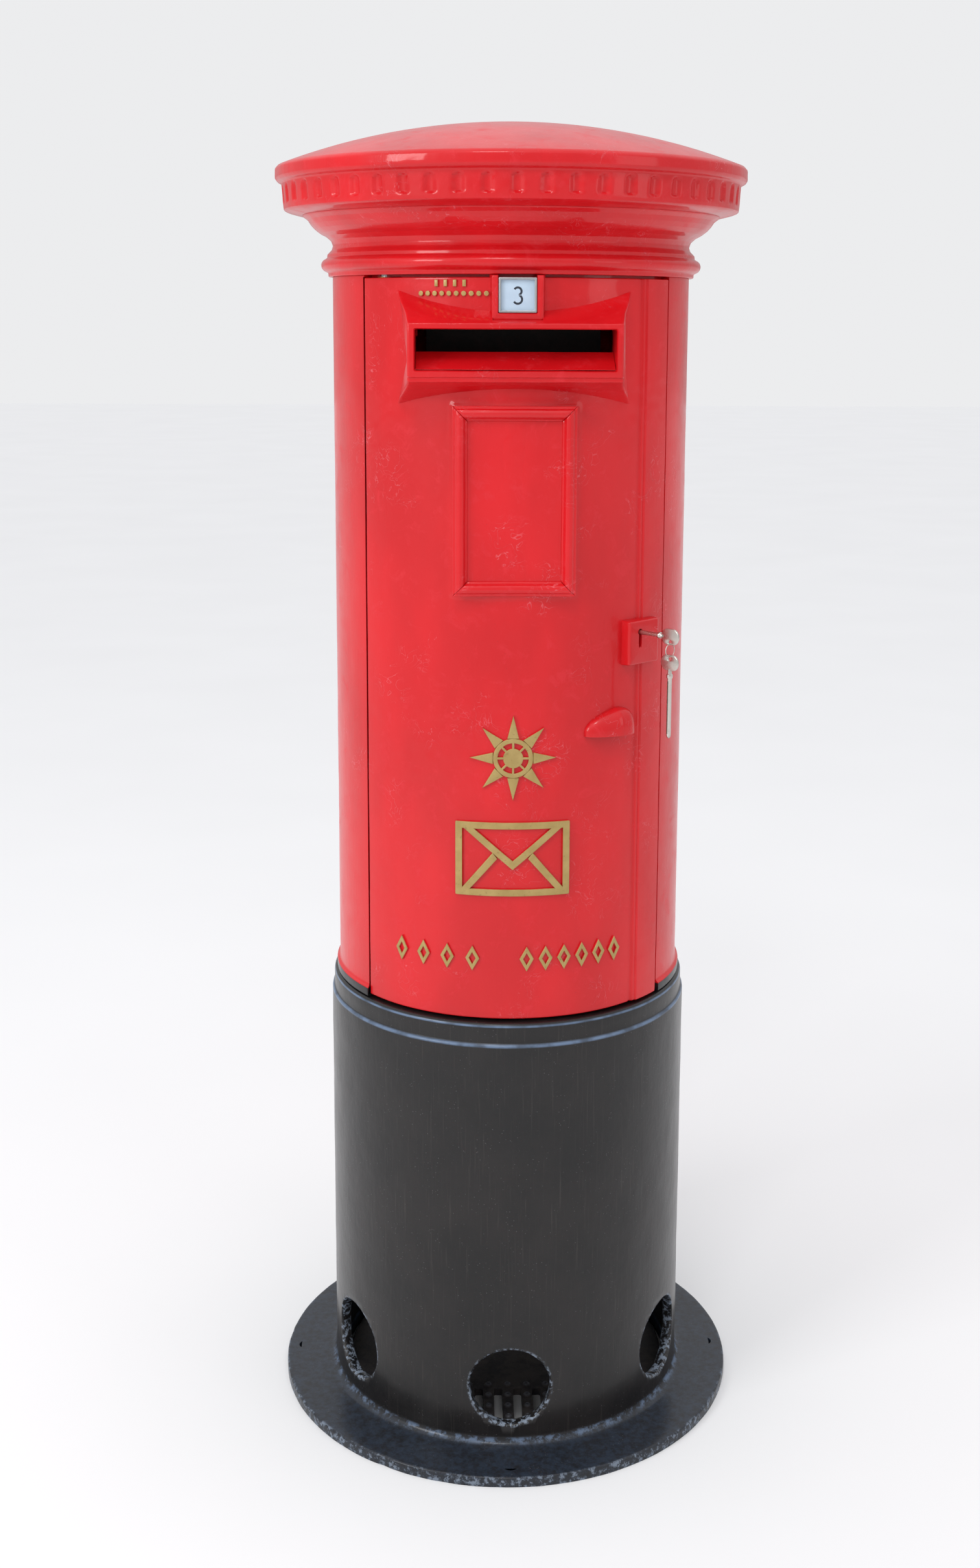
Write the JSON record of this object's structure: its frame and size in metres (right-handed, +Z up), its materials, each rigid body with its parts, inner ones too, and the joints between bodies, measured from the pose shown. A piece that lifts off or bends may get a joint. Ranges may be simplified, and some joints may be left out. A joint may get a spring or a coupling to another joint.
{
  "type": "mailbox",
  "caption": "Cast iron pillar letter box with a domed fluted cap, curved hinged door with posting slot, notice frame and key lock, on a flanged black foot.",
  "frame": {"origin": "on the ground, at the centre of the foot flange's underside", "axes": "+Z up; -Y is the front, where the door and slot face; +X is to the right seen from the front"},
  "size_m": [0.6539, 0.654, 1.791],
  "materials": {
    "red_paint": "gloss, brushed on thick",
    "black_paint": "satin, worn",
    "grate_iron": "satin, dusty",
    "zinc_steel": "zinc plated",
    "galvanised_sheet": "dull",
    "bright_steel": "ground",
    "key_steel": "nickel plated",
    "brass": "satin",
    "gilding": "matte gold paint",
    "tablet_enamel": "gloss enamel"
  },
  "bodies": {
    "body": {"base_casting": "black_paint", "base_grate": "grate_iron", "barrel_casting": "red_paint", "collar_casting": "red_paint", "cap_roof": "red_paint", "cap_bolts": "zinc_steel", "barrel_bolts": "zinc_steel", "barrel_nuts": "zinc_steel", "collar_bolts": "zinc_steel", "floor_plate": "galvanised_sheet", "letter_guard": "galvanised_sheet", "guard_bolts": "zinc_steel", "hinge_pins": "bright_steel", "hinge_washers": "brass", "door_stops": "red_paint", "stop_screws": "zinc_steel", "lock_keep": "bright_steel", "keep_screws": "zinc_steel"},
    "door": {"door_casting": "red_paint", "closing_stile": "red_paint", "posting_hood": "red_paint", "hood_screws": "zinc_steel", "chute_plate": "red_paint", "hand_guard": "galvanised_sheet", "guard_screws": "zinc_steel", "notice_panel": "red_paint", "notice_rail_top": "red_paint", "notice_rail_bottom": "red_paint", "notice_rail_left": "red_paint", "notice_rail_right": "red_paint", "tablet_holder": "red_paint", "upper_hinge_lug": "red_paint", "lower_hinge_lug": "red_paint", "hinge_screws": "zinc_steel", "lock_boss": "red_paint", "lock_case": "bright_steel", "lock_cover": "bright_steel", "lock_levers": "brass", "lever_spring": "bright_steel", "lock_screws": "zinc_steel", "door_pull": "red_paint", "rosette": "gilding", "letter_badge": "gilding", "plaques_left": "gilding", "plaques_right": "gilding", "top_studs": "gilding"},
    "lock_bolt": {"lock_bolt": "bright_steel"},
    "key": {"door_key": "key_steel"},
    "key_ring": {"key_ring": "key_steel"},
    "spare_key": {"spare_key": "key_steel"},
    "tablet": {"collection_tablet": "tablet_enamel", "tablet_frame": "bright_steel"}
  },
  "joints": [
    {"name": "door_hinge", "type": "hinge", "parent": "body", "child": "door", "pos_m": [-0.16151, -0.1542, 1.1], "axis": [0, 0, -1], "range_deg": [0, 100]},
    {"name": "key_turn", "type": "hinge", "parent": "door", "child": "key", "pos_m": [0.16636, -0.19078, 1.134], "axis": [0.6807, -0.7325, 0], "range_deg": [0, 90]},
    {"name": "lock_bolt_throw", "type": "slide", "parent": "door", "child": "lock_bolt", "axis": [0.7325, 0.6807, 0], "range_m": [0, 0.014]},
    {"name": "key_ring_swing", "type": "hinge", "parent": "key", "child": "key_ring", "pos_m": [0.20108, -0.22814, 1.12505], "axis": [0.7325, 0.6807, 0], "range_deg": [-15, 10]},
    {"name": "spare_key_hang", "type": "hinge", "parent": "key_ring", "child": "spare_key", "pos_m": [0.20108, -0.22814, 1.11645], "axis": [0.6807, -0.7325, 0], "range_deg": [-91, 1]},
    {"name": "tablet_lift_out", "type": "slide", "parent": "door", "child": "tablet", "axis": [0, 1, 0], "range_m": [0, 0.018]}
  ],
  "couplings": [
    {"joint": "lock_bolt_throw", "follows": "key_turn", "m_per_rad": 0.0085},
    {"joint": "spare_key_hang", "follows": "key_turn", "ratio": -1}
  ]
}
